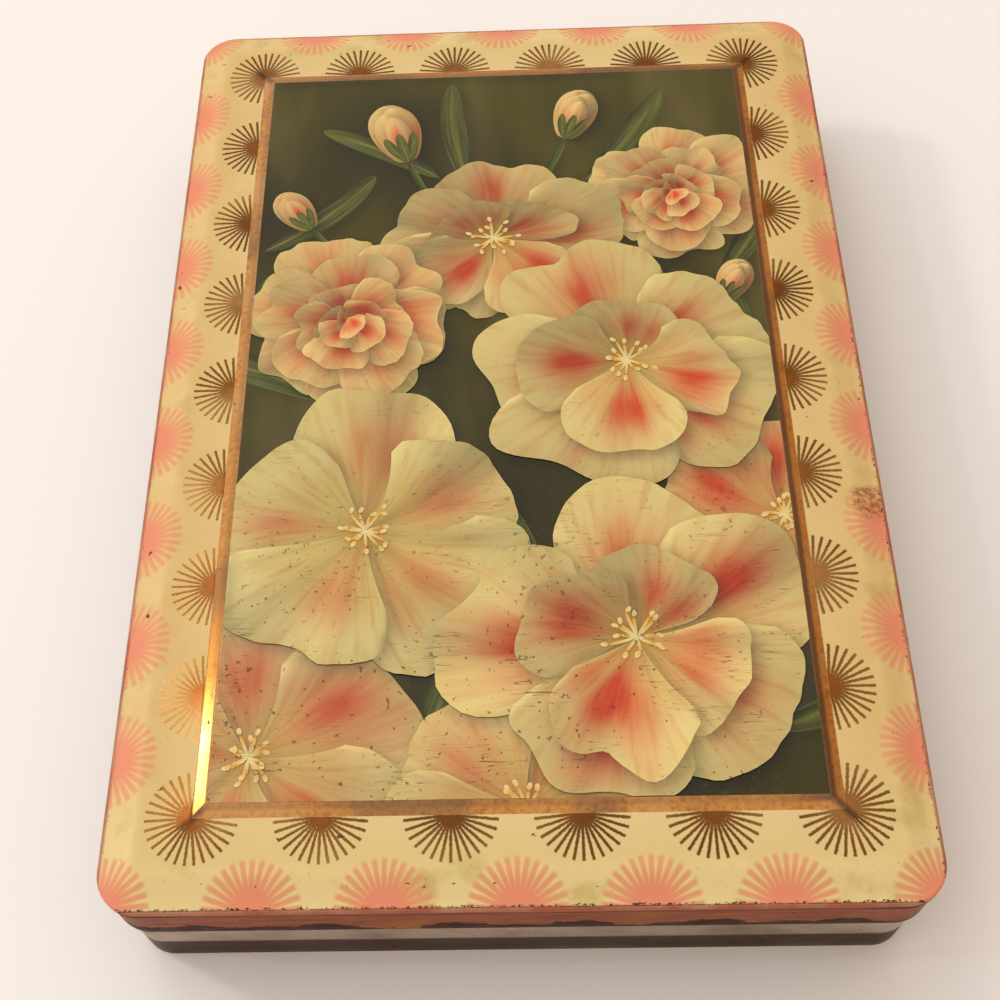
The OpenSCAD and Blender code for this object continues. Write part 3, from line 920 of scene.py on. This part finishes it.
def inkMaterial(name, veins, veinTone, veinAmount):
    # Halftone inks under varnish: smooth and glossy, with scratches and rubbed specks from use
    material, add = newMaterial(name)
    place = add("TexCoord").outputs["Object"]
    across, along, _ = add("SeparateXYZ", add("TexCoord").outputs["UV"]).outputs
    ink = add("VertexColor", layer_name="ink").outputs["Color"]
    veined = add("CombineXYZ", add("Math MULTIPLY", across, veins), add("Math MULTIPLY", along, 2.5))
    streak = add("TexNoise", veined, named={"Scale": 1.0, "Detail": 3.0})
    vein = add("MapRange", streak, 0.5, 0.7, 0.0, veinAmount)
    colour = add("Mix RGBA", vein, ink, linear(veinTone), blend_type="MULTIPLY")
    pale = add("MapRange", streak, 0.5, 0.3, 0.0, veinAmount * 0.35)
    colour = add("Mix RGBA", pale, colour, linear("#b9a878"), blend_type="SCREEN")
    # scratches run in a few directions and are denser towards the front
    wear = add("MapRange", add("SeparateXYZ", place).outputs["Y"], 0.03, -0.07)
    marks = 0.0
    for turn, stretch, scale in ((0.3, 14.0, 65.0), (1.9, 20.0, 52.5), (2.7, 16.0, 80.0)):
        lined = add("Mapping", place, named={"Rotation": (0, 0, turn), "Scale": (1.0, stretch, 1.0)})
        line = add("TexNoise", lined, named={"Scale": scale, "Detail": 1.0, "Roughness": 0.4})
        off = add("Math ABSOLUTE", add("Math SUBTRACT", line, 0.5))
        thin = add("MapRange", off, 0.004, 0.010, 1.0, 0.0)
        moved = add("VectorMath ADD", place, (turn, 0.2, 0.0))
        patch = add("TexNoise", moved, named={"Scale": 85.0, "Detail": 1.0})
        some = add("MapRange", patch, 0.60, 0.66)
        marks = add("Math MAXIMUM", marks, add("Math MULTIPLY", thin, some))
    speck = add("TexNoise", place, named={"Scale": 700.0})
    area = add("TexNoise", place, named={"Scale": 40.0})
    specks = add("MapRange", add("Math ADD", speck, add("Math MULTIPLY", area, 0.25)), 0.79, 0.83)
    marks = add("Math MULTIPLY", add("Math MAXIMUM", marks, specks), add("Math MULTIPLY", wear, 0.7))
    colour = layered(add, colour, (marks, linear("#4a3c2c")))
    rough = add("MapRange", area, 0.3, 0.7, 0.24, 0.32)
    rough = add("Math ADD", rough, add("Math MULTIPLY", marks, 0.3))
    return surface(material, add, colour, rough, (area, 0.1, 0.00005), {"Specular IOR Level": 0.25})


petalInk = inkMaterial("varnishedPetalInk", 22.0, "#e0936a", 0.3)
leafInk = inkMaterial("varnishedLeafInk", 9.0, "#5f6a3a", 0.4)
pieces, blanks = [], {}
# a grid is made once for each number of points, and every shape is a copy of one, laid out to its own points
for sheet in [ground, *sheets]:
    rows, cols = sheet["points"].shape[:2]
    if (rows, cols) not in blanks:
        clearSelection()
        bpy.ops.mesh.primitive_grid_add(x_subdivisions=cols - 1, y_subdivisions=rows - 1, size=1)
        blank = bpy.context.object.data
        blank.color_attributes.new("ink", "FLOAT_COLOR", "POINT")
        blank.materials.append(petalInk)
        blank.materials.append(leafInk)
        corners = np.zeros(len(blank.loops), int)
        blank.loops.foreach_get("vertex_index", corners)
        blanks[rows, cols] = blank, corners
        bpy.data.objects.remove(bpy.context.object)
    blank, corners = blanks[rows, cols]
    piece = bpy.data.objects.new("inkedShape", blank.copy())
    level = sheet["level"] + 0.8 * sheet["rise"].reshape(-1, 1)
    height = pictureSizes["top"] + pictureSizes["layer"] * level
    flat = np.concatenate([sheet["points"].reshape(-1, 2), height], 1) * mm
    piece.data.vertices.foreach_set("co", flat.ravel())
    paint = np.concatenate([np.clip(sheet["colour"].reshape(-1, 3), 0, 1), np.ones((rows * cols, 1))], 1)
    piece.data.color_attributes["ink"].data.foreach_set("color", paint.ravel())
    piece.data.uv_layers[0].data.foreach_set("uv", sheet["uv"].reshape(-1, 2)[corners].ravel())
    inkSlot = int(sheet["kind"] == "leaf")
    piece.data.polygons.foreach_set("material_index", [inkSlot] * len(piece.data.polygons))
    piece.data.update()
    bpy.context.scene.collection.objects.link(piece)
    pieces.append(piece)
takeOnly(pieces[0])
for piece in pieces:
    piece.select_set(True)
bpy.ops.object.join()
picture = bpy.context.object
picture.name = "flowerPrint"
bpy.ops.object.transform_apply(location=True, rotation=True, scale=True)
bpy.ops.object.mode_set(mode="EDIT")
# the shapes are trimmed to the panel
for x, y in ((1, 0), (-1, 0), (0, 1), (0, -1)):
    edge = (x * halfWidth * mm, y * halfLength * mm, 0)
    bpy.ops.mesh.select_all(action="SELECT")
    bpy.ops.mesh.bisect(plane_co=edge, plane_no=(x, y, 0), clear_outer=True)
bpy.ops.object.mode_set(mode="OBJECT")
# every shape's ink faces up
mesh = bmesh.new()
mesh.from_mesh(picture.data)
mesh.normal_update()
for face in mesh.faces:
    if face.normal.z < 0:
        face.normal_flip()
mesh.to_mesh(picture.data)
mesh.free()
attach(picture, "lid")
print("picture printed", sum(len(face.vertices) - 2 for face in picture.data.polygons), "triangles")
